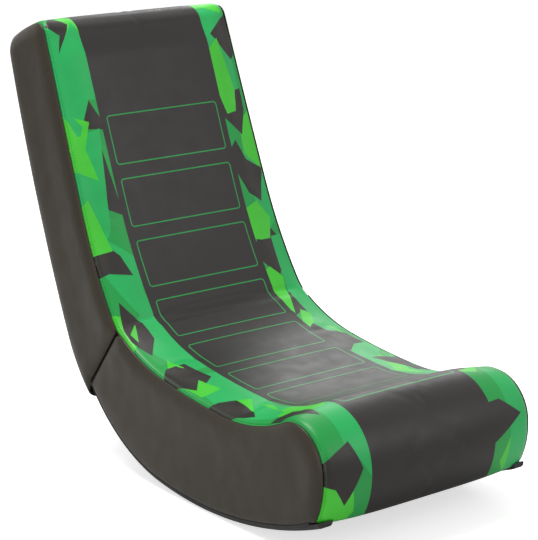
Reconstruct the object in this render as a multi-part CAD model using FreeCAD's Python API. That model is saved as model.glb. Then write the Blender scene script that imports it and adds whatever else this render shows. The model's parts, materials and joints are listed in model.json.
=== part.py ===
import FreeCAD, Part
import math
import os

os.makedirs("parts", exist_ok=True)

Vector = FreeCAD.Vector

# Widths of the chair from side face to side face, in millimetres
FRONT_WIDTH = 410.0
FOLD_WIDTH = 386.0
TOP_WIDTH = 365.0

# Side view of the seam between the front cover and the side covers. The seat and the back meet at
# the fold, where both rise at FOLD_SLOPE. Each run is a length and the angle that it turns by.
FOLD_Y = 97.4
FOLD_Z = 224.4
FOLD_SLOPE = 33.7
SEAT_RUNS = [(125.0, -23.4), (159.5, -7.2), (149.0, -29.3)]
NOSE_RUNS = [(50.0, 49.0), (72.0, 62.0), (74.0, 33.0)]
LUMBAR_RUNS = [(27.0, 22.0), (175.0, 13.0)]
BACK_RUN = (289.0, 1.0)
TOP_RUNS = [(30.0, -86.0), (73.0, -14.0), (38.0, -76.0)]
REAR_RUNS = [(462.0, -9.0), (112.0, -23.0)]

# The split between base and back starts at the fold and runs down to the rear
SPLIT_SLOPE = -52.8
SPLIT_LENGTH = 126.0
SPLIT_GAP = 4.0
BOTTOM_SLOPE = 231.0
BOTTOM_RUNS = [(220.0, -42.0), (325.0, -26.0), (55.0, -10.0)]

# Soft layers
COVER = 1.2
SEAT_FOAM = 30.0
BACK_FOAM = 5.0
SIDE_PAD = 7.0
PROUD = 3.5
CROWN = 9.0
EDGE_ROUND = 14.0
SEAM_INSET = 4.0

# Wooden frame: boards on edge at the sides, decks under the foam and cross rails between the boards
BASE_BOARD = 15.0
BACK_BOARD = 8.0
SEAT_DECK = 5.0
BACK_DECK = 2.0
BOTTOM_PANEL = 4.0
BASE_RAIL = 18.0
BACK_RAIL = 10.0
SEAT_RAIL_WIDTH = 60.0
SEAT_RAIL_PLACE = 230.0
REAR_RAIL_WIDTH = 50.0
REAR_RAIL_PLACE = 50.0
BACK_RAIL_WIDTH = 40.0
MIDDLE_RAIL_PLACE = 270.0
TOP_RAIL_PLACE = 562.0
LOWER_RAIL_PLACE = 455.0
HINGE_RAIL_DOWN = 14.0
HINGE_RAIL_WIDTH = 55.0
HOLE_RADIUS = 28.0
HOLE_COUNT = 5
HOLE_PLACES = (110.0, 500.0)

# Steel cross tubes in the nose of the seat, held in blind holes in the side boards
TUBE_RADIUS = 16.0
TUBE_WALL = 6.0
TUBE_SEAT = 5.0
TUBE_EDGE = 5.0
NOSE_TUBE_PLACE = 500.0
FRONT_TUBE_PLACE = 627.0
LOWER_TUBE_PLACE = 520.0

# Fold hinges: two butt hinges with their pins across the chair, just under the cover
PIVOT_DEPTH = 7.0
KNUCKLE_RADIUS = 4.5
PIN_RADIUS = 2.0
PIN_CLEARANCE = 0.05
PIN_HEAD = 1.5
LEAF_CLEARANCE = 0.4
LEAF_LENGTH = 42.0
HINGE_WIDTH = 60.0
HINGE_CENTRE = 115.0
MIDDLE_KNUCKLE = 24.0
KNUCKLE_GAP = 0.3
RELIEF_ANGLE = 55.0
RELIEF_CLEARANCE = 1.0
STRIP_CLEARANCE = 1.5

# Rocker rails under the side boards
RAIL_THICKNESS = 8.0
RAIL_WIDTH = 25.0
RAIL_ROUND = 5.0
RAIL_TIP_RUN = (68.0, -5.5)

# Stop pads at the rear of the split
PAD_WIDTH = 24.0
PAD_LENGTH = 12.0
PAD_CENTRE = 120.0
PAD_CLEARANCE = 0.3

# Screws
SCREW_RADIUS = 2.0
HEAD_RADIUS = 4.0
HEAD_HEIGHT = 2.4
HEAD_RECESS = 0.6
BORE_CLEARANCE = 0.3
FRAME_SCREW = 38.0
RAIL_SCREW = 24.0
RAIL_SCREW_COUNT = 5
RAIL_SCREW_MARGIN = 30.0
LEAF_SCREW = 12.0
LEAF_SCREW_RADIUS = 1.5
LEAF_SCREW_SPACING = 20.0

SIDES = {"left": -1, "right": 1}
FAR = 700.0
LEAD = 12.0
SLACK = 15.0
TRIM = 30.0
EDGE_SEARCH = 0.8


def direction(angle):
    """Unit vector in the side view at an angle in degrees from +Y towards +Z."""
    return Vector(0, math.cos(math.radians(angle)), math.sin(math.radians(angle)))


def across(x):
    """Vector of length x along the chair's width."""
    return Vector(x, 0, 0)


FOLD = Vector(0, FOLD_Y, FOLD_Z)
SPLIT_DOWN = direction(SPLIT_SLOPE)
SPLIT_OUT = direction(SPLIT_SLOPE + 90)
PIVOT = FOLD + SPLIT_DOWN * PIVOT_DEPTH


def split_point(out, down, x=0.0):
    """Point at a distance from the split plane, and down along it from the fold."""
    return FOLD + SPLIT_OUT * out + SPLIT_DOWN * down + across(x)


class Path:
    """A smooth line in the side view, made of straight and round runs.

    inner is 1 where the inside of the chair is left of the walk and -1 where it is right.
    """

    def __init__(self, start, heading, runs, inner):
        self.start = start
        self.heading = heading
        self.runs = runs
        self.inner = inner

    def inset(self, depth):
        """The same line moved towards the inside of the chair."""
        start = self.start + self.inward(self.heading) * depth
        runs = [(length - self.inner * depth * math.radians(turn), turn) for length, turn in self.runs]
        return Path(start, self.heading, runs, self.inner)

    def inward(self, heading):
        return direction(heading + 90 * self.inner)

    def place(self, distance):
        """Point and heading at a distance along the line."""
        point = self.start
        heading = self.heading
        for length, turn in self.runs:
            step = min(distance, length)
            half = turn * step / length / 2
            chord = step if half == 0 else step * math.sin(math.radians(half)) / math.radians(half)
            point = point + direction(heading + half) * chord
            heading = heading + 2 * half
            distance = distance - step
            if distance <= 0:
                break
        return point, heading

    def length(self):
        return sum(length for length, turn in self.runs)

    def end(self):
        return self.place(self.length())[0]

    def reverse(self):
        """The same line walked from its other end."""
        end, heading = self.place(self.length())
        runs = [(length, -turn) for length, turn in reversed(self.runs)]
        return Path(end, heading + 180, runs, -self.inner)

    def edges(self):
        made = []
        done = 0.0
        for length, turn in self.runs:
            first = self.place(done)[0]
            middle = self.place(done + length / 2)[0]
            last = self.place(done + length)[0]
            straight = Part.LineSegment(first, last)
            made.append(straight.toShape() if turn == 0 else Part.Arc(first, middle, last).toShape())
            done = done + length
        return made

    def wire(self):
        return Part.Wire(self.edges())


def line(first, last):
    return Part.LineSegment(first, last).toShape()


def ring(*paths):
    """Closed wire through paths that follow each other, with straight lines between them."""
    edges = []
    for path, following in zip(paths, paths[1:] + paths[:1]):
        edges = edges + path.edges()
        edges.append(line(path.end(), following.start))
    return Part.Wire(Part.__sortEdges__(edges))


def full_width(wire):
    """Solid with this outline in the side view, wider than the chair."""
    face = Part.Face(wire)
    face.translate(across(-FAR / 2))
    return face.extrude(across(FAR))


def band(path, shallow, deep):
    """Layer between two depths below a path, wider than the chair."""
    return full_width(ring(path.inset(shallow), path.inset(deep).reverse()))


def region(path, sweep):
    """Everything between a path and its copy moved by a sweep, wider than the chair."""
    moved = Path(path.start + sweep, path.heading, path.runs, path.inner)
    return full_width(ring(path, moved.reverse()))


def polygon_prism(corners, sweep):
    face = Part.Face(Part.makePolygon(corners + corners[:1]))
    return face.extrude(sweep)


def split_box(out_low, out_high, down_low, down_high, x_low=-FAR / 2, x_high=FAR / 2):
    """Block set square to the split plane."""
    corners = [
        split_point(out_low, down_low, x_low),
        split_point(out_high, down_low, x_low),
        split_point(out_high, down_high, x_low),
        split_point(out_low, down_high, x_low),
    ]
    return polygon_prism(corners, across(x_high - x_low))


def path_block(path, place, depth, thickness, width):
    """Block under a path: its outer face lies at a depth, its long side along the path."""
    point, heading = path.place(place)
    inward = path.inward(heading)
    along = direction(heading)
    corners = [
        point + inward * depth - along * (width / 2),
        point + inward * depth + along * (width / 2),
        point + inward * (depth + thickness) + along * (width / 2),
        point + inward * (depth + thickness) - along * (width / 2),
    ]
    block = polygon_prism([corner - across(FAR / 2) for corner in corners], across(FAR))
    centre = point + inward * (depth + thickness / 2)
    return block, [centre - along * (width / 4), centre + along * (width / 4)]


class Half:
    """The base or the back, with its outline, its tapering sides and its place beside the split.

    surface is the crowned outline; front and other lie on both sides of the wooden frame.
    """

    def __init__(self, surface, front, other, away, widening, board, layers):
        self.surface = surface
        self.front = front
        self.other = other
        self.away = away
        self.widening = widening
        self.board = board
        self.foam, self.deck, self.rail = layers

    def frame_depth(self):
        return COVER + self.foam + self.deck

    def half_width(self, out):
        return FOLD_WIDTH / 2 + self.widening * abs(out)

    def side_x(self, side, inset, point):
        """Distance from the chair's middle to a plane inset from the side face, at a point."""
        return side * (self.half_width((point - FOLD).dot(SPLIT_OUT)) - inset)

    def beside_split(self, clearance):
        """Everything on this half's own side of the split."""
        near = self.away * clearance
        far = self.away * FAR
        return split_box(min(near, far), max(near, far), -FAR, FAR)

    def slab(self, first_x, second_x):
        """Everything between two planes, each given as a function of the distance from the split."""
        far = self.away * FAR
        corners = [
            split_point(0, -FAR, first_x(0)),
            split_point(0, -FAR, second_x(0)),
            split_point(far, -FAR, second_x(far)),
            split_point(far, -FAR, first_x(far)),
        ]
        return polygon_prism(corners, SPLIT_DOWN * 2 * FAR)

    def middle(self, inset):
        """Everything further in than an inset from both side faces."""
        return self.slab(lambda out: inset - self.half_width(out), lambda out: self.half_width(out) - inset)

    def flank(self, side, outer, inner):
        """Everything between two insets from one side face."""
        return self.slab(
            lambda out: side * (self.half_width(out) - inner),
            lambda out: side * (self.half_width(out) - outer),
        )

    def between_boards(self):
        return self.middle(COVER + SIDE_PAD + self.board)

    def frame(self):
        """The space for the side boards and what lies between them."""
        front = self.front.inset(self.frame_depth())
        other = self.other.inset(COVER)
        if self.away > 0:
            space = full_width(ring(front, other))
        else:
            space = region(front, SPLIT_DOWN * FAR).common(region(other, SPLIT_DOWN * -FAR))
        return space.common(self.beside_split(SPLIT_GAP / 2 + COVER))


def crown_tool(path, inset):
    """The space in front of the crowned surface, which is highest along the middle."""
    radius = (FOLD_WIDTH ** 2 / 4 + CROWN ** 2) / (2 * CROWN)
    reach = FRONT_WIDTH * 0.6
    outward = path.inward(path.heading) * -1
    middle = path.start + outward * (PROUD + CROWN - inset)
    low = middle - outward * (radius - math.sqrt(radius ** 2 - reach ** 2))
    high = middle + outward * SLACK
    edges = [
        Part.Arc(low - across(reach), middle, low + across(reach)).toShape(),
        line(low + across(reach), high + across(reach)),
        line(high + across(reach), high - across(reach)),
        line(high - across(reach), low - across(reach)),
    ]
    return path.wire().makePipeShell([Part.Wire(edges)], True, False)


def edges_along(solid, path):
    """The two long edges where the side faces meet the surface over a path."""
    wire = path.wire()
    found = []
    for face in solid.Faces:
        if abs(face.normalAt(0, 0).x) < 0.9:
            continue
        for edge in face.Edges:
            middle = edge.valueAt((edge.FirstParameter + edge.LastParameter) / 2)
            beside = Part.Vertex(Vector(0, middle.y, middle.z))
            if beside.distToShape(wire)[0] < EDGE_SEARCH:
                found.append(edge)
    return found


def envelope(half, inset):
    """The upholstered form of one half, or the space that lies an inset inside it."""
    raised = half.surface.inset(inset - PROUD - 2 * CROWN)
    solid = full_width(ring(raised)) if half.away > 0 else region(raised, SPLIT_DOWN * FAR)
    solid = solid.common(half.middle(inset)).common(half.beside_split(SPLIT_GAP / 2 + inset))
    solid = solid.cut(crown_tool(half.surface, inset))
    solid = solid.makeFillet(EDGE_ROUND - inset, edges_along(solid, half.surface.inset(inset - PROUD)))
    if half.away < 0:
        solid = solid.common(region(half.other.inset(inset), SPLIT_DOWN * -FAR))
    return solid


def relief():
    """The V in the foam over the hinge pins that closes when the back folds forward."""
    ray = PIVOT_DEPTH * 6
    left_ray = direction(SPLIT_SLOPE + 180 + RELIEF_ANGLE) * ray
    right_ray = direction(SPLIT_SLOPE + 180 - RELIEF_ANGLE) * ray
    start = PIVOT - across(FAR / 2)
    wedge = polygon_prism([start, start + left_ray, start + right_ray], across(FAR))
    radius = KNUCKLE_RADIUS + RELIEF_CLEARANCE
    return wedge.fuse(Part.makeCylinder(radius, FAR, start, across(1)))


def both_sides(name, right):
    """A right-hand piece and its mirror image on the left."""
    return {name + "_right": right, name + "_left": right.mirror(Vector(0, 0, 0), across(1))}


def volume(solid):
    return solid.Volume


def covers(half, prefix, front_name, other_name, outer, inner):
    """The sewn cover, split at its seams into a front, two sides, a far side and a fold face."""
    shell = outer.cut(inner).cut(relief())
    middle = shell.common(half.middle(SEAM_INSET))
    front = middle.common(band(half.front, -SLACK, COVER))
    near = SPLIT_GAP / 2 * half.away
    deep = (SPLIT_GAP / 2 + COVER) * half.away
    rest = middle.cut(front)
    fold = rest.common(split_box(min(near, deep), max(near, deep), -SLACK, FAR))
    made = {
        front_name: front,
        prefix + "_fold_cover": fold,
        other_name: max(rest.cut(fold).Solids, key=volume),
    }
    made.update(both_sides(prefix + "_side_cover", shell.common(half.flank(1, -SLACK, SEAM_INSET))))
    return made


def pads_and_boards(half, prefix, inner):
    """Side foam and side boards."""
    board_at = COVER + SIDE_PAD
    pad = inner.common(half.flank(1, -SLACK, board_at)).cut(relief())
    board = half.frame().common(half.flank(1, board_at, board_at + half.board))
    made = both_sides(prefix + "_side_pad", pad)
    made.update(both_sides(prefix + "_side_board", board))
    return made


def foam_and_deck(half, foam_name, deck_name, inner):
    """Foam under the front cover, on a thin bent deck that lies on the side boards."""
    under_pads = half.middle(COVER + SIDE_PAD)
    foam = inner.common(band(half.front, -SLACK, COVER + half.foam)).common(under_pads).cut(relief())
    deck = band(half.front, COVER + half.foam, half.frame_depth()).common(under_pads)
    deck = deck.common(half.beside_split(SPLIT_GAP / 2 + COVER + half.rail))
    return {foam_name: foam.cut(hinge_rail(half)), deck_name: deck}


def hinge_rail(half):
    """Cross rail behind the split that carries the hinge leaves."""
    near = (SPLIT_GAP / 2 + COVER) * half.away
    deep = near + half.rail * half.away
    block = split_box(min(near, deep), max(near, deep), HINGE_RAIL_DOWN, HINGE_RAIL_DOWN + HINGE_RAIL_WIDTH)
    return block.common(half.between_boards())


def hinge_rail_centres(half):
    middle = (SPLIT_GAP / 2 + COVER + half.rail / 2) * half.away
    top = HINGE_RAIL_DOWN + HINGE_RAIL_WIDTH
    return [split_point(middle, top - HINGE_RAIL_WIDTH / 5), split_point(middle, top - HINGE_RAIL_WIDTH / 2)]


def cross_rail(half, path, place, depth, width, keep_clear):
    """Cross rail between the side boards, shaped to the deck or panel that it carries."""
    block = path_block(path, place, depth - SLACK, half.rail + SLACK, width)[0]
    centres = path_block(path, place, depth, half.rail, width)[1]
    block = block.common(half.between_boards()).common(half.frame())
    for layer in keep_clear:
        block = block.cut(layer)
    return block, centres


def cross_tube(half, path, place, depth):
    """Steel tube across the chair, and the solid bar that its holes in the boards are cut with."""
    point, heading = path.place(place)
    start = point + path.inward(heading) * (depth + TUBE_EDGE + TUBE_RADIUS) - across(FAR / 2)
    bar = Part.makeCylinder(TUBE_RADIUS, FAR, start, across(1))
    bar = bar.common(half.middle(COVER + SIDE_PAD + half.board - TUBE_SEAT))
    return bar.cut(Part.makeCylinder(TUBE_RADIUS - TUBE_WALL, FAR, start, across(1))), bar


def lightening_holes(half):
    """Round holes along the middle of the back's side boards."""
    first, last = HOLE_PLACES
    made = []
    for index in range(HOLE_COUNT):
        point, heading = half.front.place(first + (last - first) * index / (HOLE_COUNT - 1))
        centre = point + half.front.inward(heading) * (half.frame_depth() + HOLE_RADIUS * 2)
        made.append(Part.makeCylinder(HOLE_RADIUS, FAR, centre - across(FAR / 2), across(1)))
    return made


def screw(point, axis, length, radius=SCREW_RADIUS, head=HEAD_RADIUS, head_height=HEAD_HEIGHT):
    """Screw with a flat countersunk head; point is the middle of the head's face."""
    cone = Part.makeCone(head, radius, head_height, point, axis)
    return cone.fuse(Part.makeCylinder(radius, length, point, axis)).removeSplitter()


def frame_screws(half, centres):
    """Screws through both side boards into the ends of the cross rails."""
    made = []
    for point in centres:
        for side in SIDES.values():
            face_x = half.side_x(side, COVER + SIDE_PAD + HEAD_RECESS, point)
            made.append(screw(point + across(face_x), across(-side), FRAME_SCREW))
    return made


def recess(point, axis, depth=HEAD_RECESS + 1.0):
    """Room above a sunk screw head."""
    return Part.makeCylinder(HEAD_RADIUS, depth, point, axis * -1)


def cut_all(shape, tools):
    """Take away each tool that reaches the shape."""
    for tool in tools:
        if shape.BoundBox.intersect(tool.BoundBox):
            shape = shape.cut(tool)
    return shape


def rocker_rails(base, bottom):
    """Rails with a rounded underside that follow the bottom edges of the side boards."""
    runs = bottom.runs[:-1] + [RAIL_TIP_RUN]
    path = Path(bottom.start, bottom.heading, runs, bottom.inner)
    outer = path.inset(-RAIL_THICKNESS)
    tip = (RAIL_THICKNESS * math.pi / 2, -90.0)
    rounded = Path(outer.start, outer.heading, outer.runs + [tip], outer.inner)
    middle = COVER + SIDE_PAD + base.board / 2
    flank = base.flank(1, middle - RAIL_WIDTH / 2, middle + RAIL_WIDTH / 2)
    rail = full_width(ring(rounded, path.reverse())).common(flank).common(base.beside_split(SPLIT_GAP / 2))
    return both_sides("rocker_rail", rail.makeFillet(RAIL_ROUND, edges_along(rail, rounded))), outer


def rail_screws(base, outer):
    """Screws up through each rail into the edge of its side board."""
    first = LEAD + RAIL_SCREW_MARGIN
    step = (outer.length() - first - RAIL_SCREW_MARGIN * 3) / (RAIL_SCREW_COUNT - 1)
    middle = COVER + SIDE_PAD + base.board / 2
    made = []
    sinks = []
    for index in range(RAIL_SCREW_COUNT):
        point, heading = outer.place(first + step * index)
        axis = outer.inward(heading)
        point = point + axis * (RAIL_THICKNESS / 4)
        for side in SIDES.values():
            head = point + across(base.side_x(side, middle, point))
            made.append(screw(head, axis, RAIL_SCREW))
            bore = Part.makeCylinder(SCREW_RADIUS + BORE_CLEARANCE, RAIL_THICKNESS + COVER, head, axis)
            sink = Part.makeCone(
                HEAD_RADIUS + BORE_CLEARANCE, SCREW_RADIUS + BORE_CLEARANCE, HEAD_HEIGHT, head, axis
            )
            well = Part.makeCylinder(HEAD_RADIUS + BORE_CLEARANCE, RAIL_THICKNESS, head, axis * -1)
            sinks.append(bore.fuse(sink).fuse(well))
    return made, sinks


def knuckle_spans(half):
    """Stretches along the pin, from the hinge's middle, that this half's knuckles take up."""
    inner = MIDDLE_KNUCKLE / 2
    if half.away > 0:
        return [(-inner, inner)]
    return [(-HINGE_WIDTH / 2, -inner - KNUCKLE_GAP), (inner + KNUCKLE_GAP, HINGE_WIDTH / 2)]


def hinge_leaf(half, other, centre):
    """Leaf with its knuckles, screwed to the hinge rail through the fold cover."""
    near = LEAF_CLEARANCE * half.away
    far = SPLIT_GAP / 2 * half.away
    low = centre - HINGE_WIDTH / 2
    leaf = split_box(min(near, far), max(near, far), PIVOT_DEPTH, PIVOT_DEPTH + LEAF_LENGTH, low, low + HINGE_WIDTH)
    for start, stop in knuckle_spans(other):
        room = Part.makeCylinder(
            KNUCKLE_RADIUS + KNUCKLE_GAP,
            stop - start + 2 * KNUCKLE_GAP,
            PIVOT + across(centre + start - KNUCKLE_GAP),
            across(1),
        )
        leaf = leaf.cut(room)
    for start, stop in knuckle_spans(half):
        leaf = leaf.fuse(Part.makeCylinder(KNUCKLE_RADIUS, stop - start, PIVOT + across(centre + start), across(1)))
    bore = Part.makeCylinder(
        PIN_RADIUS + PIN_CLEARANCE, HINGE_WIDTH * 2, PIVOT + across(centre - HINGE_WIDTH), across(1)
    )
    return leaf.cut(bore).removeSplitter()


def leaf_screws(half, centre):
    """Three screws through a leaf into the hinge rail."""
    made = []
    down = PIVOT_DEPTH + LEAF_LENGTH * 0.7
    for step in (-1, 0, 1):
        point = split_point(LEAF_CLEARANCE * half.away, down, centre + step * LEAF_SCREW_SPACING)
        axis = SPLIT_OUT * half.away
        head_height = SPLIT_GAP / 2 - LEAF_CLEARANCE
        made.append(screw(point, axis, LEAF_SCREW, LEAF_SCREW_RADIUS, HEAD_RADIUS - 1.0, head_height))
    return made


def hinge_pin(centre):
    """Pin with a low head at each end, outside the knuckles."""
    start = PIVOT + across(centre - HINGE_WIDTH / 2 - PIN_HEAD)
    pin = Part.makeCylinder(PIN_RADIUS, HINGE_WIDTH + 2 * PIN_HEAD, start, across(1))
    head_radius = (PIN_RADIUS + KNUCKLE_RADIUS) / 2
    for x in (centre - HINGE_WIDTH / 2 - PIN_HEAD, centre + HINGE_WIDTH / 2):
        pin = pin.fuse(Part.makeCylinder(head_radius, PIN_HEAD, PIVOT + across(x), across(1)))
    return pin.removeSplitter()


def fold_strip(seat, lumbar):
    """The strip of cover that bends over the hinge pins."""
    reach = PIVOT_DEPTH * 4
    length, turn = seat.runs[1]
    start, heading = seat.place(LEAD + reach)
    path = Path(start, heading + 180, [(reach, -turn * reach / length)] + lumbar.runs[1:2], -seat.inner)
    skin = crown_tool(path, COVER).cut(crown_tool(path, 0))
    ray = PIVOT_DEPTH * 6
    narrow = RELIEF_ANGLE - STRIP_CLEARANCE
    corners = [PIVOT, PIVOT + direction(SPLIT_SLOPE + 180 + narrow) * ray]
    corners.append(PIVOT + direction(SPLIT_SLOPE + 180 - narrow) * ray)
    half_width = FOLD_WIDTH / 2 - SEAM_INSET
    wedge = polygon_prism([corner - across(half_width) for corner in corners], across(2 * half_width))
    return skin.common(wedge)


def stop_pads():
    """Rubber pads on the back's lower face that meet the base when the chair is open."""
    made = []
    for side in SIDES.values():
        middle = side * PAD_CENTRE
        made.append(split_box(
            PAD_CLEARANCE - SPLIT_GAP / 2,
            SPLIT_GAP / 2,
            SPLIT_LENGTH - 2 * PAD_LENGTH,
            SPLIT_LENGTH - PAD_LENGTH,
            middle - PAD_WIDTH / 2,
            middle + PAD_WIDTH / 2,
        ))
    return made


def lead_in(heading, runs, inner, start=FOLD):
    """Path that starts a little beyond the split plane."""
    return Path(start - direction(heading) * LEAD, heading, [(LEAD, 0)] + runs, inner)


def make_base():
    seat = lead_in(FOLD_SLOPE + 180, SEAT_RUNS + NOSE_RUNS, 1)
    bottom = lead_in(BOTTOM_SLOPE, BOTTOM_RUNS, -1, split_point(0, SPLIT_LENGTH))
    reach = (FOLD - seat.end()).dot(SPLIT_OUT)
    widening = (FRONT_WIDTH - FOLD_WIDTH) / 2 / reach
    layers = (SEAT_FOAM, SEAT_DECK, BASE_RAIL)
    over = Path(seat.start, seat.heading, seat.runs + [(TRIM, 0)], seat.inner)
    under = Path(bottom.start, bottom.heading, bottom.runs + [(TRIM, 0)], bottom.inner).reverse()
    return Half(over, over, under, -1, widening, BASE_BOARD, layers), bottom


def make_back():
    front = lead_in(FOLD_SLOPE, LUMBAR_RUNS + [BACK_RUN] + TOP_RUNS, -1)
    point, heading = front.place(front.length())
    rear = Path(point, heading, REAR_RUNS, -1)
    surface = Path(front.start, front.heading, front.runs + REAR_RUNS, -1)
    top = front.place(LEAD + sum(length for length, turn in LUMBAR_RUNS) + BACK_RUN[0])[0]
    widening = (TOP_WIDTH - FOLD_WIDTH) / 2 / (top - FOLD).dot(SPLIT_OUT)
    layers = (BACK_FOAM, BACK_DECK, BACK_RAIL)
    return Half(surface, front, rear, 1, widening, BACK_BOARD, layers)


def base_parts(base, back, bottom):
    outer = envelope(base, 0)
    inner = envelope(base, COVER)
    made = covers(base, "base", "seat_cover", "base_bottom_cover", outer, inner)
    made.update(pads_and_boards(base, "base", inner))
    made.update(foam_and_deck(base, "seat_foam", "seat_deck", inner))
    panel = band(bottom, COVER, COVER + BOTTOM_PANEL)
    frame = base.frame().common(base.between_boards())
    made["base_bottom_panel"] = panel.common(frame).cut(made["base_fold_cover"])
    deck = band(base.front, -SLACK, base.frame_depth())
    cross = {
        "seat_cross_rail": (base.front, LEAD + SEAT_RAIL_PLACE, base.frame_depth(), SEAT_RAIL_WIDTH),
        "rear_cross_rail": (bottom, LEAD + REAR_RAIL_PLACE, COVER + BOTTOM_PANEL, REAR_RAIL_WIDTH),
    }
    centres = hinge_rail_centres(base)
    for name, (path, place, depth, width) in cross.items():
        rail, ends = cross_rail(base, path, place, depth, width, [deck, panel])
        made[name] = rail
        centres = centres + ends
    made["base_hinge_rail"] = hinge_rail(base)
    bars = []
    tubes = {
        "nose_cross_tube": (base.front, LEAD + NOSE_TUBE_PLACE, base.frame_depth()),
        "front_cross_tube": (base.front, LEAD + FRONT_TUBE_PLACE, base.frame_depth()),
        "lower_cross_tube": (bottom, LEAD + LOWER_TUBE_PLACE, COVER + BOTTOM_PANEL),
    }
    for name, (path, place, depth) in tubes.items():
        made[name], bar = cross_tube(base, path, place, depth)
        bars.append(bar)
    screws = frame_screws(base, centres)
    rails, rail_line = rocker_rails(base, bottom)
    made.update(rails)
    up_screws, sinks = rail_screws(base, rail_line)
    for word in SIDES:
        made["rocker_rail_" + word] = cut_all(made["rocker_rail_" + word], sinks)
        made["base_side_cover_" + word] = cut_all(made["base_side_cover_" + word], sinks)
    made["base_bottom_cover"] = cut_all(made["base_bottom_cover"], sinks)
    wells = [recess(point + across(base.side_x(side, COVER + SIDE_PAD + HEAD_RECESS, point)), across(-side))
             for point in centres for side in SIDES.values()]
    for name in list(made):
        if name.endswith("_rail") or "side_board" in name:
            made[name] = cut_all(made[name], screws + up_screws + wells + bars)
    made["base_frame_screws"] = Part.makeCompound(screws)
    made["rail_screws"] = Part.makeCompound(up_screws)
    made["fold_strip"] = fold_strip(base.front, back.front)
    return made


def back_parts(back):
    outer = envelope(back, 0)
    inner = envelope(back, COVER)
    made = covers(back, "back", "back_cover", "back_rear_cover", outer, inner)
    made.update(pads_and_boards(back, "back", inner))
    made.update(foam_and_deck(back, "back_foam", "back_deck", inner))
    deck = band(back.front, -SLACK, back.frame_depth())
    cross = {
        "back_middle_rail": (back.front, LEAD + MIDDLE_RAIL_PLACE, back.frame_depth()),
        "back_top_rail": (back.front, LEAD + TOP_RAIL_PLACE, back.frame_depth()),
        "back_lower_rail": (back.other, LOWER_RAIL_PLACE, COVER),
    }
    centres = hinge_rail_centres(back)
    for name, (path, place, depth) in cross.items():
        rail, ends = cross_rail(back, path, place, depth, BACK_RAIL_WIDTH, [deck])
        made[name] = rail
        centres = centres + ends
    made["back_hinge_rail"] = hinge_rail(back)
    screws = frame_screws(back, centres)
    wells = [recess(point + across(back.side_x(side, COVER + SIDE_PAD + HEAD_RECESS, point)), across(-side))
             for point in centres for side in SIDES.values()]
    for name in list(made):
        if name.endswith("_rail"):
            made[name] = cut_all(made[name], screws + wells)
        if "side_board" in name:
            made[name] = cut_all(made[name], screws + wells + lightening_holes(back))
    made["back_frame_screws"] = Part.makeCompound(screws)
    made["stop_pads"] = Part.makeCompound(stop_pads())
    return made


def hinge_parts(base, back, made):
    """Leaves, pins and screws, with their holes in the rails and the fold covers."""
    for word, side in SIDES.items():
        made["base_hinge_leaf_" + word] = hinge_leaf(base, back, side * HINGE_CENTRE)
        made["back_hinge_leaf_" + word] = hinge_leaf(back, base, side * HINGE_CENTRE)
    made["hinge_pins"] = Part.makeCompound([hinge_pin(side * HINGE_CENTRE) for side in SIDES.values()])
    for prefix, half in (("base", base), ("back", back)):
        screws = leaf_screws(half, -HINGE_CENTRE) + leaf_screws(half, HINGE_CENTRE)
        names = [prefix + "_hinge_leaf_left", prefix + "_hinge_leaf_right"]
        for name in names + [prefix + "_hinge_rail", prefix + "_fold_cover"]:
            made[name] = cut_all(made[name], screws)
        made[prefix + "_hinge_screws"] = Part.makeCompound(screws)


def main():
    base, bottom = make_base()
    back = make_back()
    made = base_parts(base, back, bottom)
    made.update(back_parts(back))
    hinge_parts(base, back, made)
    box = FreeCAD.BoundBox()
    for shape in made.values():
        box.add(shape.optimalBoundingBox(False, False))
    origin = Vector(box.Center.x, box.Center.y, box.ZMin)
    for name in sorted(made):
        shape = made[name]
        shape.translate(origin * -1)
        shape.exportStep("parts/" + name + ".step")
    print("size", round(box.XLength, 2), round(box.YLength, 2), round(box.ZLength, 2))
    print("fold hinge", PIVOT - origin)


main()
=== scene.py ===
import json
import math
import random

import bmesh
import bpy
import numpy as np
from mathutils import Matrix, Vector, noise
from mathutils.geometry import delaunay_2d_cdt


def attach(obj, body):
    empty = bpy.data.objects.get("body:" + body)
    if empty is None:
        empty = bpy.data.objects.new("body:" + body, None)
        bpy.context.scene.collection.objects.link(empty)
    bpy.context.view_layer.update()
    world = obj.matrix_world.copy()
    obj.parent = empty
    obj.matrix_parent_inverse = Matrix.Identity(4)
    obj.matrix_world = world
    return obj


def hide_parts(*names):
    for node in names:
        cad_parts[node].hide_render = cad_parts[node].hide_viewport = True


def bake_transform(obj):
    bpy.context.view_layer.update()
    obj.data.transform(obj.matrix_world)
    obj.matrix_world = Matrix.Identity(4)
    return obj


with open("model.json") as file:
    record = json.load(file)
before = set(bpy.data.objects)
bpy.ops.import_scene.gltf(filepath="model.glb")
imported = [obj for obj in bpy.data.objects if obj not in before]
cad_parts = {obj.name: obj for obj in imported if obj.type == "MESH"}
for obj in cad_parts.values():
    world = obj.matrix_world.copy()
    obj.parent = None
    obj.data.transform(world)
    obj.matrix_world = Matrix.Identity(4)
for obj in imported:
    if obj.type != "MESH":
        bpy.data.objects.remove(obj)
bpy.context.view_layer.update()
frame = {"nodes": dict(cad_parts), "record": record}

# Side outline in millimetres, as on the solid model: runs of a length and a turn, both ways from the fold
FOLD = (99.352, 224.734)
FOLD_SLOPE = 33.7
SPLIT_SLOPE = -52.8
SPLIT_LENGTH = 126.0
SEAT_RUNS = [(125.0, -23.4), (159.5, -7.2), (149.0, -29.3), (50.0, 49.0), (72.0, 62.0), (74.0, 33.0)]
BACK_RUNS = [(27.0, 22.0), (175.0, 13.0), (289.0, 1.0), (30.0, -86.0), (73.0, -14.0), (38.0, -76.0)]
REAR_RUNS = [(462.0, -9.0), (112.0, -23.0)]
BOTTOM_SLOPE = 231.0
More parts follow.
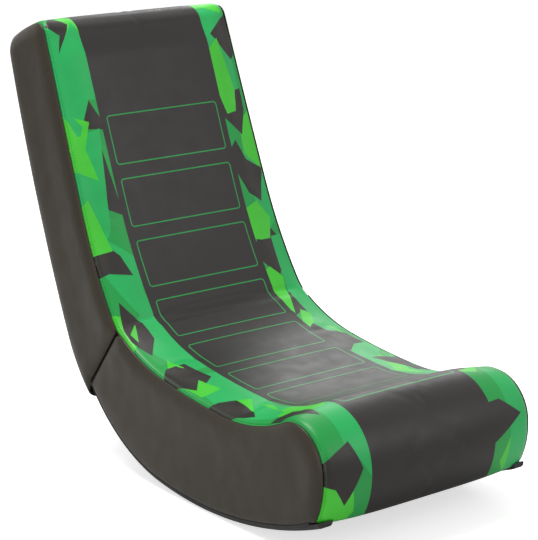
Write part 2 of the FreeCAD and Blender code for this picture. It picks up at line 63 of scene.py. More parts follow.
BOTTOM_RUNS = [(220.0, -42.0), (325.0, -26.0), (55.0, -10.0)]
FRONT_WIDTH = 410.0
FOLD_WIDTH = 386.0
TOP_WIDTH = 365.0

# Upholstery: the cover stands proud of the seam line and rises to its crown in the middle
PROUD = 3.5
CROWN = 9.0
TOP_FLATTENING = 0.85
TOP_FLAT_LEAD = 50.0
TOP_FLAT_REACH = 45.0
EDGE_ROUND = 14.0
SEAM_INSET = 4.0
SEAM_DIP = 1.2
SEAM_REACH = 5.0
COVER_CLOTH = 1.2
LINING_CLOTH = 0.8
GRID = 5.0
MARGIN_ROWS = (2.0, 4.5, 8.0)
MARGIN = 12.5

# Split between seat and back, with the corners cut back over the hinge pins
SPLIT_GAP = 4.0
PIVOT_DEPTH = 7.0
RELIEF_ANGLE = 55.0
RELIEF = PIVOT_DEPTH * math.tan(math.radians(RELIEF_ANGLE))

# Side panels: a ridge behind the seam, a turned rim elsewhere, and slight unevenness
RIDGE = 3.0
RIDGE_PLACE = 20.0
RIDGE_LOSS = 0.55
RIDGE_FALL = 50.0
RIM_ROUND = 9.0
RIM_TURN = 0.6
RIM_FADE = 25.0
RIPPLE = 0.5
RIPPLE_SCALE = 0.035
RIPPLE_FADE = 20.0
SIDE_GRID = 6.0
SIDE_ROWS = (1.5, 3.5, 6.0, 9.0)

# Cloth of the front cover, and its crease at the fold
CLOTH_GRID = 11.0
CLOTH_COLUMNS = 34
CLOTH_FRAMES = 20
PRESSURE = 4.0
SPARE_CLOTH = 0.002
CLOTH_OUT = 3.0
CLOTH_IN = 2.0
CREASE = 2.5
CREASE_PLACE = -6.0
CREASE_REACH = 7.0
CREASE_FADE = 60.0

# Flat sheets and cords
SHEET_COLUMNS = 40
REAR_COLUMNS = 44
REAR_GRID = 8.0
REAR_END = 8.0
BOTTOM_GRID = 10.0
BOTTOM_SAG = 0.5
BOTTOM_INSET = 0.6
FACE_CLEARANCE = 0.05
CORD_STEP = 4.0
SEAM_CORD = 0.8
REAR_CORD = 1.6
RIM_CORD = 1.5
RIM_CORD_INSET = 1.6
STITCH_PITCH = 5.0
STITCH_PLACES = (0.6, 2.0, 3.6)
STITCH_RADIUS = 0.28
STITCH_INSET = 3.0
STITCH_LIFT = 0.25

# Printed pattern: black strip with thin rectangles, and patches along both green bands
GREEN_PRINT, LIGHT_PRINT, LIME_PRINT, DARK_PRINT, BLACK_PRINT, LINE_PRINT = range(6)
STRIP_WIDTH = 243.0
PANEL_WIDTH = 220.0
PANEL_CORNER = 6.0
PANEL_LINE = 2.0
PANEL_PLACES = [
    (263.7, 345.3),
    (161.0, 241.5),
    (58.3, 138.5),
    (-50.2, 35.9),
    (-156.4, -75.2),
    (-255.0, -181.0),
    (-357.0, -277.0),
    (-461.0, -379.0),
]
PATTERN_SEED = 23
BAND_MIDDLE = 36.0

# Patches: distance apart, print, length, width, and distance from the middle of the band
PATCHES = [
    (190.0, LIGHT_PRINT, 250.0, 90.0, 20.0),
    (140.0, LIME_PRINT, 130.0, 70.0, 28.0),
    (125.0, DARK_PRINT, 108.0, 72.0, 24.0),
]

MM = 0.001
SIDES = {"left": -1, "right": 1}


def direction(angle):
    """Unit vector in the side view, as (y, z)."""
    return Vector((math.cos(math.radians(angle)), math.sin(math.radians(angle))))


ORIGIN = Vector(FOLD)
SPLIT_DOWN = direction(SPLIT_SLOPE)
SPLIT_OUT = direction(SPLIT_SLOPE + 90)


def walk(start, heading, runs, distance):
    """Point and heading at a distance along a line of straight and round runs."""
    point = Vector(start)
    for length, turn in runs:
        step = min(distance, length)
        half = turn * step / length / 2
        chord = step * math.sin(math.radians(half)) / math.radians(half) if half else step
        point = point + direction(heading + half) * chord
        heading = heading + 2 * half
        distance = distance - step
        if distance <= 0:
            break
    return point, heading


def total(runs):
    return sum(length for length, turn in runs)


SEAT_LENGTH = total(SEAT_RUNS)
BACK_LENGTH = total(BACK_RUNS)
REAR_LENGTH = total(REAR_RUNS)
BOTTOM_LENGTH = total(BOTTOM_RUNS)


def outline(along):
    """Seam point and outward direction; along is measured from the fold, up the back or down the seat."""
    if along < 0:
        point, heading = walk(ORIGIN, FOLD_SLOPE + 180, SEAT_RUNS, -along)
        return point, direction(heading - 90)
    point, heading = walk(ORIGIN, FOLD_SLOPE, BACK_RUNS + REAR_RUNS, along)
    return point, direction(heading + 90)


def underside(along):
    """Point and outward direction on the bottom edge, measured from the rear end of the split."""
    point, heading = walk(ORIGIN + SPLIT_DOWN * SPLIT_LENGTH, BOTTOM_SLOPE, BOTTOM_RUNS, along)
    return point, direction(heading + 90)


TOP_PLACE = total(BACK_RUNS[:3])
SEAT_REACH = (ORIGIN - outline(-SEAT_LENGTH)[0]).dot(SPLIT_OUT)
BACK_REACH = (outline(TOP_PLACE)[0] - ORIGIN).dot(SPLIT_OUT)


def half_width(point):
    """Half of the chair's width at a point of the side view."""
    out = (point - ORIGIN).dot(SPLIT_OUT)
    if out < 0:
        return FOLD_WIDTH / 2 - out * (FRONT_WIDTH - FOLD_WIDTH) / 2 / SEAT_REACH
    return FOLD_WIDTH / 2 + out * (TOP_WIDTH - FOLD_WIDTH) / 2 / BACK_REACH


def ease(value):
    """Smooth step from 0 to 1."""
    value = max(0.0, min(1.0, value))
    return value * value * (3 - 2 * value)


def edge_drop(depth):
    """How far the rounded edge lies below the crown, at a distance in from the side face."""
    reach = min(EDGE_ROUND, max(0.0, EDGE_ROUND - depth))
    return EDGE_ROUND - math.sqrt(EDGE_ROUND ** 2 - reach ** 2)


def crown(along):
    """Crown height in the middle: full on seat and back, nearly flat over top edge and rear."""
    return CROWN * (1 - TOP_FLATTENING * ease((along - TOP_PLACE + TOP_FLAT_LEAD) / TOP_FLAT_REACH))


def skin(along, x):
    """Point of the padded surface, in metres."""
    point, out = outline(along)
    wide = half_width(point)
    inside = wide - abs(x)
    height = PROUD + crown(along) * (1 - (x / wide) ** 4) - edge_drop(inside)
    height = height - SEAM_DIP * (1 - ease((inside - SEAM_INSET) / SEAM_REACH))
    place = point + out * height
    return Vector((x, place.x, place.y)) * MM


def seam_x(along):
    """Distance of the side seam from the middle of the chair."""
    return half_width(outline(along)[0]) - SEAM_INSET


def mesh_piece(name, points, faces, materials, marks=None):
    """Smooth mesh object from points in metres."""
    mesh = bpy.data.meshes.new(name)
    mesh.from_pydata([tuple(point) for point in points], [], [tuple(face) for face in faces])
    for material in materials:
        mesh.materials.append(material)
    if marks:
        mesh.polygons.foreach_set("material_index", marks)
    mesh.polygons.foreach_set("use_smooth", [True] * len(mesh.polygons))
    mesh.update()
    piece = bpy.data.objects.new(name, mesh)
    bpy.context.scene.collection.objects.link(piece)
    return piece


def thicken(piece, thickness=COVER_CLOTH):
    """Give a sheet its thickness on the inside."""
    solid = piece.modifiers.new("thickness", "SOLIDIFY")
    solid.thickness = thickness * MM
    solid.offset = -1.0
    return piece


def steps(first, last, size):
    """Evenly spaced values from first to last, about a size apart."""
    count = max(1, round(abs(last - first) / size))
    return [first + (last - first) * index / count for index in range(count + 1)]


def tube(points, radius, sides=8):
    """Points and faces of a tube along a line, with closed ends."""
    made = []
    faces = []
    count = len(points)
    for index, point in enumerate(points):
        ahead = points[min(index + 1, count - 1)] - points[max(index - 1, 0)]
        frame_x = Vector((1, 0, 0)) if abs(ahead.normalized().x) < 0.8 else Vector((0, 0, 1))
        second = ahead.cross(frame_x).normalized()
        first = second.cross(ahead).normalized()
        for side in range(sides):
            angle = math.tau * side / sides
            made.append(point + (first * math.cos(angle) + second * math.sin(angle)) * radius)
    for index in range(count - 1):
        for side in range(sides):
            low = index * sides
            nxt = (side + 1) % sides
            faces.append((low + side, low + nxt, low + sides + nxt, low + sides + side))
    faces.append(tuple(reversed(range(sides))))
    faces.append(tuple(range((count - 1) * sides, count * sides)))
    return made, faces


def merge(shapes):
    """Join several point and face lists."""
    points = []
    faces = []
    for some, corners in shapes:
        start = len(points)
        points = points + some
        faces = faces + [tuple(corner + start for corner in face) for face in corners]
    return points, faces


# Colours and materials

def paint(red, green, blue):
    """Linear colour from 8-bit display values."""
    values = []
    for value in (red, green, blue):
        share = value / 255
        values.append(share / 12.92 if share <= 0.04045 else ((share + 0.055) / 1.055) ** 2.4)
    return (*values, 1.0)


class Surface:
    """Node material that is built up layer by layer."""

    def __init__(self, name, roughness):
        self.material = bpy.data.materials.new(name)
        self.material.use_nodes = True
        self.nodes = self.material.node_tree.nodes
        self.links = self.material.node_tree.links
        self.shader = self.nodes["Principled BSDF"]
        self.shader.inputs["Roughness"].default_value = roughness
        self.shader.inputs["Specular IOR Level"].default_value = 0.38
        self.place = self.node("ShaderNodeTexCoord").outputs["Object"]
        self.normal = None

    def node(self, kind, **values):
        made = self.nodes.new(kind)
        for key, value in values.items():
            made.inputs[key].default_value = value
        return made

    def noise(self, scale, detail=3.0):
        made = self.node("ShaderNodeTexNoise", Scale=scale, Detail=detail)
        self.links.new(self.place, made.inputs["Vector"])
        return made.outputs["Fac"]

    def cells(self, scale):
        made = self.node("ShaderNodeTexVoronoi", Scale=scale)
        self.links.new(self.place, made.inputs["Vector"])
        return made.outputs["Distance"]

    def mix(self, factor, first, second):
        made = self.nodes.new("ShaderNodeMix")
        made.data_type = "RGBA"
        self.links.new(factor, made.inputs[0])
        made.inputs[6].default_value = first
        made.inputs[7].default_value = second
        return made.outputs[2]

    def span(self, value, low, high, first=0.0, second=1.0):
        made = self.nodes.new("ShaderNodeMapRange")
        self.links.new(value, made.inputs["Value"])
        for key, number in (("From Min", low), ("From Max", high), ("To Min", first), ("To Max", second)):
            made.inputs[key].default_value = number
        return made.outputs["Result"]

    def bump(self, height, strength, distance):
        made = self.node("ShaderNodeBump", Strength=strength, Distance=distance)
        self.links.new(height, made.inputs["Height"])
        if self.normal:
            self.links.new(self.normal, made.inputs["Normal"])
        self.normal = made.outputs["Normal"]
        self.links.new(self.normal, self.shader.inputs["Normal"])

    def colour(self, value):
        self.links.new(value, self.shader.inputs["Base Color"])

    def rough(self, value):
        self.links.new(value, self.shader.inputs["Roughness"])


def shade(colour, factor):
    """The same colour, lighter or darker."""
    return (colour[0] * factor, colour[1] * factor, colour[2] * factor, 1.0)


def printed(name, colour):
    """Smooth coated cloth with a print: fine grain and slightly uneven ink."""
    made = Surface(name, 0.42)
    made.colour(made.mix(made.span(made.noise(9.0), 0.3, 0.7), shade(colour, 0.93), shade(colour, 1.07)))
    made.rough(made.span(made.noise(40.0), 0.3, 0.7, 0.38, 0.46))
    made.bump(made.cells(900.0), 0.12, 0.0004)
    made.bump(made.noise(60.0, 2.0), 0.05, 0.002)
    return made.material


def leather(name, colour, roughness=0.4):
    """Artificial leather with a pebbled grain."""
    made = Surface(name, roughness)
    made.colour(made.mix(made.span(made.noise(14.0), 0.3, 0.7), shade(colour, 0.9), shade(colour, 1.1)))
    made.rough(made.span(made.noise(30.0), 0.3, 0.7, roughness - 0.05, roughness + 0.06))
    made.bump(made.cells(650.0), 0.22, 0.0006)
    made.bump(made.noise(45.0, 3.0), 0.12, 0.003)
    return made.material


def lining(name, colour):
    """Black felted lining cloth."""
    made = Surface(name, 0.85)
    made.colour(made.mix(made.noise(900.0), shade(colour, 0.7), shade(colour, 1.4)))
    made.bump(made.noise(1500.0), 0.5, 0.0004)
    return made.material


def plastic(name, colour):
    """Moulded plastic with a fine texture and rubbed spots."""
    made = Surface(name, 0.45)
    made.colour(made.mix(made.span(made.noise(25.0), 0.45, 0.75), colour, shade(colour, 1.8)))
    made.rough(made.span(made.noise(60.0), 0.3, 0.7, 0.38, 0.55))
    made.bump(made.noise(1800.0), 0.2, 0.0003)
    return made.material


def metal(name, colour, roughness):
    """Plated steel with faint spots."""
    made = Surface(name, roughness)
    made.shader.inputs["Metallic"].default_value = 1.0
    made.colour(made.mix(made.noise(80.0), shade(colour, 0.85), colour))
    made.rough(made.span(made.noise(300.0), 0.3, 0.7, roughness * 0.8, roughness * 1.2))
    made.bump(made.noise(700.0), 0.1, 0.0002)
    return made.material


def timber(name, colour):
    """Plywood with a stretched grain."""
    made = Surface(name, 0.6)
    stretched = made.node("ShaderNodeMapping", Scale=(3.0, 0.4, 3.0))
    made.links.new(made.place, stretched.inputs["Vector"])
    made.place = stretched.outputs["Vector"]
    grain = made.noise(60.0, 5.0)
    made.colour(made.mix(made.span(grain, 0.35, 0.65), shade(colour, 0.7), shade(colour, 1.15)))
    made.bump(grain, 0.2, 0.0006)
    return made.material


def foam(name, colour):
    """Open foam with fine pores."""
    made = Surface(name, 0.95)
    made.colour(made.mix(made.cells(600.0), colour, shade(colour, 0.75)))
    made.bump(made.cells(500.0), 0.6, 0.001)
    return made.material


GREEN = printed("green_print", paint(16, 146, 62))
LIGHT_GREEN = printed("light_green_print", paint(24, 166, 84))
LIME = printed("lime_print", paint(62, 190, 44))
DARK = printed("dark_print", paint(26, 22, 17))
BLACK = printed("black_print", paint(23, 19, 17))
LINE = printed("line_print", paint(22, 140, 62))
SIDE = leather("side_leather", paint(36, 29, 11))
REAR = leather("rear_leather", paint(28, 26, 22), 0.5)
PIPING = leather("piping", paint(24, 22, 20), 0.45)
THREAD = lining("thread", paint(30, 110, 48))
LINING = lining("lining", paint(20, 20, 20))
PRINTS = [GREEN, LIGHT_GREEN, LIME, DARK, BLACK, LINE]
CAD_MATERIALS = {
    "rail_plastic": plastic("rail_plastic", paint(22, 21, 20)),
    "pad_rubber": plastic("pad_rubber", paint(26, 26, 26)),
    "zinc_screws": metal("zinc_screws", paint(190, 190, 195), 0.35),
    "hinge_steel": metal("hinge_steel", paint(170, 170, 175), 0.4),
    "tube_steel": plastic("tube_paint", paint(25, 25, 25)),
    "frame_wood": timber("frame_wood", paint(190, 155, 110)),
    "fibreboard": timber("fibreboard", paint(120, 85, 55)),
    "foam": foam("foam", paint(225, 220, 200)),
}


# Printed front cover

def rounded_rectangle(low, high, half, corner, inset):
    """Corners of a rounded rectangle across the middle of the cover, as (along, x)."""
    made = []
    radius = corner - inset
    for along, x, first in (
        (high - corner, half - corner, 0),
        (low + corner, half - corner, 90),
        (low + corner, corner - half, 180),
        (high - corner, corner - half, 270),
    ):
        for step in range(5):
            angle = math.radians(first + step * 22.5)
            made.append((along + radius * math.cos(angle), x + radius * math.sin(angle)))
    return made


def shard(chance, along, x, length, width):
    """An angular patch: five to eight corners at uneven distances around its middle."""
    count = chance.choice((5, 6, 7, 8))
    start = chance.uniform(0, 360)
    made = []
    for corner in range(count):
        angle = math.radians(start + (corner + chance.uniform(-0.22, 0.22)) * 360 / count)
        reach = chance.choice((0.45, 0.7, 1.0, 1.2)) / 2
        made.append((along + length * reach * math.cos(angle), x + width * reach * math.sin(angle)))
    return made


def camouflage():
    """Angular patches along both green bands, as (corners, colour number)."""
    chance = random.Random(PATTERN_SEED)
    made = []
    for side in (-1, 1):
        band = side * (STRIP_WIDTH / 2 + BAND_MIDDLE)
        for pitch, colour, length, width, spread in PATCHES:
            along = -SEAT_LENGTH + chance.uniform(0, pitch)
            while along < BACK_LENGTH:
                x = band + chance.choice((-1, 1)) * chance.uniform(0.4, 1.0) * spread
                made.append((shard(chance, along, x, length, width), colour))
                along = along + pitch * chance.uniform(0.85, 1.15)
    return made


def dense(corners):
    """The same closed outline with a point at least every few millimetres."""
    made = []
    for first, last in zip(corners, corners[1:] + corners[:1]):
        run = Vector(last) - Vector(first)
        count = max(1, math.ceil(run.length / GRID))
        made = made + [tuple(Vector(first) + run * step / count) for step in range(count)]
    return made


def front_domain():
    """Flat outline of the cover, as (along, x)."""
    rows = steps(-SEAT_LENGTH, BACK_LENGTH, GRID)
    left = [(along, -seam_x(along)) for along in rows]
    right = [(along, seam_x(along)) for along in reversed(rows)]
    return left + right


def pattern_shapes():
    """The cover and the lines of its print as closed outlines, each with what it bounds."""
    half = STRIP_WIDTH / 2
    bottom = -SEAT_LENGTH - GRID
    top = BACK_LENGTH + GRID
    strip = [(bottom, -half), (top, -half), (top, half), (bottom, half)]
    shapes = [(front_domain(), "domain"), (strip, "strip")]
    for low, high in PANEL_PLACES:
        for inset, kind in ((0, "outer"), (PANEL_LINE, "inner")):
            shapes.append((rounded_rectangle(low, high, PANEL_WIDTH / 2, PANEL_CORNER, inset), kind))
    return shapes + camouflage()


def print_number(inside):
    """Which print a cell has that lies inside these shapes."""
    if "strip" in inside:
        return LINE_PRINT if "outer" in inside and "inner" not in inside else BLACK_PRINT
    patches = [kind for kind in inside if isinstance(kind, int)]
    return patches[-1] if patches else GREEN_PRINT


def inner_points():
    """Points in rows across the cover, closer together beside the seams."""
    points = []
    for along in steps(-SEAT_LENGTH, BACK_LENGTH, GRID)[1:-1]:
        wide = seam_x(along)
        row = [side * (wide - edge) for side in (-1, 1) for edge in MARGIN_ROWS]
        row = row + steps(-wide + MARGIN, wide - MARGIN, GRID)
        points = points + [Vector((along, x)) for x in row]
    return points


def press_out(sheet, held):
    """Run the cloth with its edges held, and give the places of its points in the end."""
    sheet.vertex_groups.new(name="held").add(held, 1.0, "REPLACE")
    cloth = sheet.modifiers.new("cloth", "CLOTH")
    cloth.settings.vertex_group_mass = "held"
    cloth.settings.use_pressure = True
    cloth.settings.uniform_pressure_force = PRESSURE
    cloth.settings.shrink_min = -SPARE_CLOTH
    cloth.settings.effector_weights.gravity = 0
    scene = bpy.context.scene
    for frame_number in range(1, CLOTH_FRAMES + 1):
        scene.frame_set(frame_number)
    settled_sheet = sheet.evaluated_get(bpy.context.evaluated_depsgraph_get())
    places = [vertex.co.copy() for vertex in settled_sheet.data.vertices]
    bpy.data.objects.remove(sheet)
    scene.frame_set(1)
    return places


def settle():
    """Cloth held at its seams and pressed out: rows, and movement at each place, cut off at its limits."""
    rows = steps(-SEAT_LENGTH, BACK_LENGTH, CLOTH_GRID)
    across = CLOTH_COLUMNS + 1
    points = []
    for along in rows:
        for share in steps(-1.0, 1.0, 2.0 / CLOTH_COLUMNS):
            points.append(skin(along, seam_x(along) * share))
    sheet = mesh_piece("settling_cloth", points, grid_faces(len(rows), CLOTH_COLUMNS), [])
    sides = [index for index in range(len(points)) if index % across in (0, CLOTH_COLUMNS)]
    ends = list(range(across)) + list(range(len(points) - across, len(points)))
    places = press_out(sheet, sides + ends)
    outward = []
    for index, point in enumerate(points):
        out = outline(rows[index // across])[1]
        outward.append((places[index] - point).dot(Vector((0, out.x, out.y))) / MM)
    outward = np.clip(np.array(outward), -CLOTH_IN, CLOTH_OUT)
    return rows, outward.reshape(len(rows), across)


def settled(rows, outward, along, x):
    """Movement out of the settled cloth at a place, in mm."""
    row = (along - rows[0]) / (rows[-1] - rows[0]) * (len(rows) - 1)
    column = (x / seam_x(along) + 1) / 2 * CLOTH_COLUMNS
    row = max(0.0, min(len(rows) - 1.001, row))
    column = max(0.0, min(CLOTH_COLUMNS - 0.001, column))
    low = int(row)
    left = int(column)
    down = row - low
    right = column - left
    first = outward[low, left] * (1 - right) + outward[low, left + 1] * right
    second = outward[low + 1, left] * (1 - right) + outward[low + 1, left + 1] * right
    return first * (1 - down) + second * down


def front_place(rows, outward, spot):
    """Place in metres of a point of the cover, with its settled cloth and the crease at the fold."""
    along = max(-SEAT_LENGTH, min(BACK_LENGTH, spot.x))
    out = outline(along)[1]
    crease = CREASE * math.exp(-((along - CREASE_PLACE) / CREASE_REACH) ** 2)
    crease = crease * ease((seam_x(along) - abs(spot.y)) / CREASE_FADE)
    lift = settled(rows, outward, along, spot.y) - crease
    return skin(along, spot.y) + Vector((0, out.x, out.y)) * lift * MM


def front_cover():
    """One printed cover over seat and back, cut along the lines of its pattern."""
    shapes = pattern_shapes()
    points = []
    faces = []
    for corners, kind in shapes:
        corners = dense(corners)
        faces.append(list(range(len(points), len(points) + len(corners))))
        points = points + [Vector(corner) for corner in corners]
    points = points + inner_points()
    flat, _, cells, _, _, origins = delaunay_2d_cdt(points, [], faces, 0, 1e-4)
    kept = []
    marks = []
    for cell, origin in zip(cells, origins):
        inside = [shapes[index][1] for index in origin]
        if "domain" in inside:
            kept.append(tuple(reversed(cell)))
            marks.append(print_number(inside))
    rows, outward = settle()
    places = [front_place(rows, outward, spot) for spot in flat]
    piece = mesh_piece("front_cover", places, kept, PRINTS, marks)
    clean(piece)
    return thicken(piece)


def clean(piece):
    """Remove the points that no face uses."""
    made = bmesh.new()
    made.from_mesh(piece.data)
    bmesh.ops.delete(made, geom=[vert for vert in made.verts if not vert.link_faces], context="VERTS")
    made.to_mesh(piece.data)
    made.free()


# Side panels

def split_edge(away, first, last):
    """Points along the split on one half's side, up to the cut-back corner over the hinge pins."""
    near = away * SPLIT_GAP / 2
    return [ORIGIN + SPLIT_OUT * near + SPLIT_DOWN * down for down in steps(first, last, SIDE_GRID)]


def base_outline():
    """Seam and other edges of a side panel of the base."""
    seam = [outline(along)[0] for along in steps(-RELIEF, -SEAT_LENGTH, SIDE_GRID)]
    bottom = [underside(along)[0] for along in steps(BOTTOM_LENGTH, SPLIT_GAP / 2, SIDE_GRID)]
    split = split_edge(-1, SPLIT_LENGTH, PIVOT_DEPTH)
    return seam, bottom + split[1:]


def back_outline():
    """Seam and other edges of a side panel of the back."""
    seam = [outline(along)[0] for along in steps(RELIEF, BACK_LENGTH + REAR_LENGTH - REAR_END, SIDE_GRID)]
    split = split_edge(1, SPLIT_LENGTH - 4.0, PIVOT_DEPTH)
    return seam, split[1:]


def distances(points, border):
    """Distance from each point to a broken line."""
    found = np.full(len(points), 1e9)
    for first, last in zip(border, border[1:]):
        run = last - first
        share = np.clip(((points - first) @ run) / (run @ run), 0, 1)
        found = np.minimum(found, np.linalg.norm(points - first - share[:, None] * run, axis=1))
    return found


def panel_points(loop):
    """Points of a side panel in the side view: its edge, rows beside it and a grid inside."""
    ys = [point[0] for point in loop]
    zs = [point[1] for point in loop]
    grid = []
    for y in steps(min(ys), max(ys), SIDE_GRID):
        grid = grid + [(y, z) for z in steps(min(zs), max(zs), SIDE_GRID)]
    grid = np.array(grid)
    grid = grid[distances(grid, np.array(loop + loop[:1])) > SIDE_GRID * 0.8]
    rows = []
    for depth in SIDE_ROWS:
        rows = rows + inner_row(loop, depth)
    return [Vector(point) for point in loop + rows] + [Vector(point) for point in grid]


def side_panel(name, side, seam, rest):
    """A padded side of one half, rounded into the seam."""
    loop = [tuple(point) for point in seam + rest]
    border = list(range(len(loop)))
    if turning(loop) < 0:
        border.reverse()
    flat, _, cells, _, _, origins = delaunay_2d_cdt(panel_points(loop), [], [border], 0, 1e-4)
    kept = [cell for cell, origin in zip(cells, origins) if 0 in origin]
    if side > 0:
        kept = [tuple(reversed(cell)) for cell in kept]
    places = np.array([tuple(point) for point in flat])
    from_seam = distances(places, np.array([tuple(point) for point in seam]))
    from_rest = distances(places, np.array([tuple(point) for point in rest]))
    made = []
    for place, near_seam, near_rest in zip(flat, from_seam, from_rest):
        made.append(side_point(side, place, near_seam, near_rest))
    piece = mesh_piece(name, made, kept, [SIDE])
    clean(piece)
    return thicken(piece)


def turning(loop):
    """1 where a closed line runs anticlockwise, and -1 where it runs clockwise."""
    pairs = zip(loop[-1:] + loop[:-1], loop)
    area = sum(before[0] * after[1] - after[0] * before[1] for before, after in pairs)
    return 1 if area > 0 else -1


def inner_row(loop, depth):
    """Points of a closed line moved inwards by a depth."""
    made = []
    count = len(loop)
    turn = turning(loop)
    for index in range(count):
        before = Vector(loop[index - 1])
        after = Vector(loop[(index + 1) % count])
        run = (after - before).normalized()
        made.append((loop[index][0] - run.y * depth * turn, loop[index][1] + run.x * depth * turn))
    return made


def side_point(side, place, near_seam, near_rest):
    """Place in metres of a point of a side panel."""
    below = min(EDGE_ROUND, near_seam + PROUD + SEAM_DIP)
    drop = EDGE_ROUND - math.sqrt(EDGE_ROUND ** 2 - (EDGE_ROUND - below) ** 2)
    rim = max(0.0, RIM_ROUND - near_rest)
    turned = (RIM_ROUND - math.sqrt(RIM_ROUND ** 2 - rim ** 2)) * RIM_TURN
    puff = RIDGE * ease(near_seam / RIDGE_PLACE)
    puff = puff * (1 - RIDGE_LOSS * ease((near_seam - RIDGE_PLACE) / RIDGE_FALL))
    puff = puff * ease(near_rest / RIM_FADE)
    ripple = noise.noise(Vector((place.x, place.y, side * 40)) * RIPPLE_SCALE) * RIPPLE
    ripple = ripple * ease(near_seam / RIPPLE_FADE) * ease(near_rest / RIPPLE_FADE)
    x = half_width(place) - drop - turned + puff + ripple
    return Vector((side * x, place.x, place.y)) * MM


# Rear, bottom and fold faces

def rear_panel():
    """The cover over the back's rear, from the top edge down."""
    rows = steps(BACK_LENGTH, BACK_LENGTH + REAR_LENGTH - 2.0, REAR_GRID)
    points = []
    for along in rows:
        wide = seam_x(along)
        for column in range(REAR_COLUMNS + 1):
            points.append(skin(along, -wide + 2 * wide * column / REAR_COLUMNS))
    return thicken(mesh_piece("rear_panel", points, grid_faces(len(rows), REAR_COLUMNS), [REAR]))


def grid_faces(rows, columns):
    """Faces between rows of points, each row with one point more than it has columns."""
    made = []
    for row in range(rows - 1):
        for column in range(columns):
            low = row * (columns + 1) + column
            made.append((low, low + 1, low + columns + 2, low + columns + 1))
    return made


def bottom_panel():
    """Lining under the base, between the side panels, that sags a little."""
    rows = steps(0.0, BOTTOM_LENGTH, BOTTOM_GRID)
    points = []
    for along in rows:
        place, out = underside(along)
        wide = half_width(place) - 0.5
        for column in range(SHEET_COLUMNS + 1):
            x = -wide + 2 * wide * column / SHEET_COLUMNS
            sag = 1 - (x / wide) ** 2
            spot = place + out * (-BOTTOM_INSET + sag * BOTTOM_SAG)
            points.append(Vector((x, spot.x, spot.y)) * MM)
    faces = grid_faces(len(rows), SHEET_COLUMNS)
    return thicken(mesh_piece("bottom_panel", points, faces, [LINING]), LINING_CLOTH)


def fold_face(name, away):
    """Lining on one side of the split."""
    rows = steps(PIVOT_DEPTH + 3, SPLIT_LENGTH - 1.5, SIDE_GRID)
    points = []
    for down in rows:
        place = ORIGIN + SPLIT_DOWN * down + SPLIT_OUT * away * (SPLIT_GAP / 2 + FACE_CLEARANCE)
        wide = half_width(place) - 1.5
        for column in range(SHEET_COLUMNS + 1):
            x = -wide + 2 * wide * column / SHEET_COLUMNS
            points.append(Vector((x, place.x, place.y)) * MM)
    faces = grid_faces(len(rows), SHEET_COLUMNS)
    if away > 0:
        faces = [tuple(reversed(face)) for face in faces]
    return thicken(mesh_piece(name, points, faces, [LINING]), LINING_CLOTH)


# Seams

def seam_point(along, side, out_of, lift):
    """Point beside the side seam, in metres."""
    x = side * (seam_x(along) + out_of)
    point = skin(along, x)
    out = outline(along)[1]
    return point + Vector((0, out.x, out.y)) * lift * MM


def seam_cord(name, first, last, side, radius, out_of, lift):
    """Thin cord sewn into the side seam."""
    points = [seam_point(along, side, out_of, lift) for along in steps(first, last, CORD_STEP)]
    return mesh_piece(name, *tube(points, radius * MM), [PIPING])


def rim_cord(name, line, side):
    """Cord along the turned rim of a side panel."""
    points = []
    for place in line:
        x = side * (half_width(place) - RIM_CORD_INSET)
        points.append(Vector((x, place.x, place.y)) * MM)
    return mesh_piece(name, *tube(points, RIM_CORD * MM), [PIPING])


def stitches(name, first, last, side):
    """Short stitches along the edge of the printed cover."""
    shapes = []
    for along in steps(first, last, STITCH_PITCH)[:-1]:
        pair = [seam_point(along + step, side, -STITCH_INSET, STITCH_LIFT) for step in STITCH_PLACES]
        shapes.append(tube(pair, STITCH_RADIUS * MM, 5))
    return mesh_piece(name, *merge(shapes), [THREAD])


# The chair


def place_cover():
    cover = front_cover()
    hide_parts("seat_cover", "back_cover", "fold_strip", "seat_foam", "back_foam")
    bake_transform(cover)


def place_sides():
    halves = {"base": base_outline(), "back": back_outline()}
    for body, (seam, rest) in halves.items():
        for word, side in SIDES.items():
            name = body + "_side_" + word
            panel = side_panel(name, side, seam, rest)
            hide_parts(body + "_side_cover_" + word, body + "_side_pad_" + word)
            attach(panel, body)


def place_sheets():
    rear = rear_panel()
    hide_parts("back_rear_cover")
    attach(rear, "back")
    bottom = bottom_panel()
    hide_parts("base_bottom_cover")
    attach(bottom, "base")
    for body, away in (("base", -1), ("back", 1)):
        face = fold_face(body + "_fold_face", away)
        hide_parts(body + "_fold_cover")
        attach(face, body)


def place_seams():
    rear_end = BACK_LENGTH + REAR_LENGTH - 4
    for word, side in SIDES.items():
        cord = seam_cord("seam_cord_" + word, -SEAT_LENGTH + 2, BACK_LENGTH, side, SEAM_CORD, 0.5, -0.2)
        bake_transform(cord)
        rear_cord = seam_cord("rear_cord_" + word, BACK_LENGTH, rear_end, side, REAR_CORD, 0.6, 0.4)
        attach(rear_cord, "back")
        rim = [underside(place)[0] for place in steps(1.0, BOTTOM_LENGTH - 1, SIDE_GRID)]
        edge = rim_cord("bottom_cord_" + word, rim, side)
        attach(edge, "base")
        sewn = stitches("stitches_" + word, -SEAT_LENGTH + 4, BACK_LENGTH - 2, side)
        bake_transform(sewn)


def dress_nodes():
    """Finish the solid pieces that stay as they are."""
    slots = {entry["node"]: entry["material_slot"] for entry in frame["record"]["subparts"]}
    for name, node in frame["nodes"].items():
        material = CAD_MATERIALS.get(slots[name])
        if material:
            node.data.materials.clear()
            node.data.materials.append(material)


# Studio

CAMERA_PLACE = (-1.920, -2.420, 1.126)
CAMERA_TURN = -38.89
CAMERA_TILT = -14.74
LENS = 136.0
FLOOR_HALF = 8.0
FLOOR_GLOW = 0.64
SKY_LEVEL = 0.42


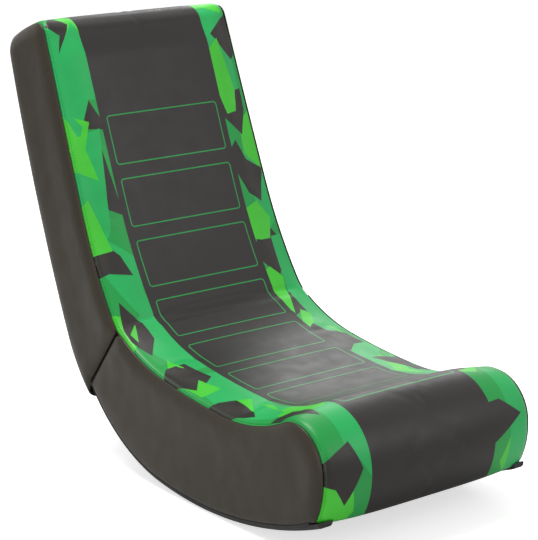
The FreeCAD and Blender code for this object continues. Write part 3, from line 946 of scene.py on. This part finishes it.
def camera():
    data = bpy.data.cameras.new("camera")
    data.lens = LENS
    data.sensor_width = 36.0
    data.clip_end = 50.0
    made = bpy.data.objects.new("camera", data)
    made.location = CAMERA_PLACE
    made.rotation_euler = (math.radians(90 + CAMERA_TILT), 0, math.radians(CAMERA_TURN))
    bpy.context.scene.collection.objects.link(made)
    bpy.context.scene.camera = made


def lamp(name, place, target, size, power):
    data = bpy.data.lights.new(name, "AREA")
    data.shape = "SQUARE"
    data.size = size
    data.energy = power
    made = bpy.data.objects.new(name, data)
    made.location = place
    made.rotation_euler = (Vector(target) - Vector(place)).to_track_quat("-Z", "Y").to_euler()
    bpy.context.scene.collection.objects.link(made)


def seen_rays(nodes, links):
    """1 for rays from the camera, and for mirrored and refracted ones."""
    path = nodes.new("ShaderNodeLightPath")
    value = path.outputs["Is Camera Ray"]
    for name in ("Is Glossy Ray", "Is Transmission Ray"):
        most = nodes.new("ShaderNodeMath")
        most.operation = "MAXIMUM"
        links.new(value, most.inputs[0])
        links.new(path.outputs[name], most.inputs[1])
        value = most.outputs[0]
    return value


def floor():
    """White ground that shows as white and still takes the shadow."""
    mesh = bpy.data.meshes.new("floor")
    corners = [(-1, -1), (1, -1), (1, 1), (-1, 1)]
    mesh.from_pydata([(x * FLOOR_HALF, y * FLOOR_HALF, 0) for x, y in corners], [], [(0, 1, 2, 3)])
    made = bpy.data.objects.new("floor", mesh)
    made.location = (0, 0, -0.0005)
    bpy.context.scene.collection.objects.link(made)
    material = bpy.data.materials.new("floor")
    material.use_nodes = True
    nodes = material.node_tree.nodes
    links = material.node_tree.links
    shader = nodes["Principled BSDF"]
    shader.inputs["Base Color"].default_value = (0.8, 0.8, 0.8, 1.0)
    shader.inputs["Roughness"].default_value = 0.9
    shader.inputs["Specular IOR Level"].default_value = 0.1
    shader.inputs["Emission Color"].default_value = (1.0, 1.0, 1.0, 1.0)
    glow = nodes.new("ShaderNodeMath")
    glow.operation = "MULTIPLY"
    glow.inputs[1].default_value = FLOOR_GLOW
    links.new(nodes.new("ShaderNodeLightPath").outputs["Is Camera Ray"], glow.inputs[0])
    links.new(glow.outputs[0], shader.inputs["Emission Strength"])
    mesh.materials.append(material)


def studio():
    """White surroundings, dimmer as a light than as a background, and four soft lamps."""
    world = bpy.data.worlds.new("studio")
    world.use_nodes = True
    bpy.context.scene.world = world
    nodes = world.node_tree.nodes
    links = world.node_tree.links
    background = nodes["Background"]
    background.inputs["Color"].default_value = (1.0, 1.0, 1.0, 1.0)
    level = nodes.new("ShaderNodeMapRange")
    level.inputs["To Min"].default_value = SKY_LEVEL
    level.inputs["To Max"].default_value = 1.0
    links.new(seen_rays(nodes, links), level.inputs["Value"])
    links.new(level.outputs["Result"], background.inputs["Strength"])
    lamp("key", (-0.6, 0.6, 3.2), (0, 0, 0.3), 1.4, 78)
    lamp("front", (1.4, -2.8, 1.8), (0, 0, 0.35), 1.6, 16)
    lamp("side", (-3.1, -1.7, 1.1), (0, 0, 0.35), 1.0, 20)
    lamp("rim", (2.6, 2.4, 2.0), (0, -0.1, 0.25), 1.6, 20)
    bpy.context.scene.view_settings.view_transform = "Standard"


camera()
floor()
studio()
place_cover()
place_sides()
place_sheets()
place_seams()
dress_nodes()
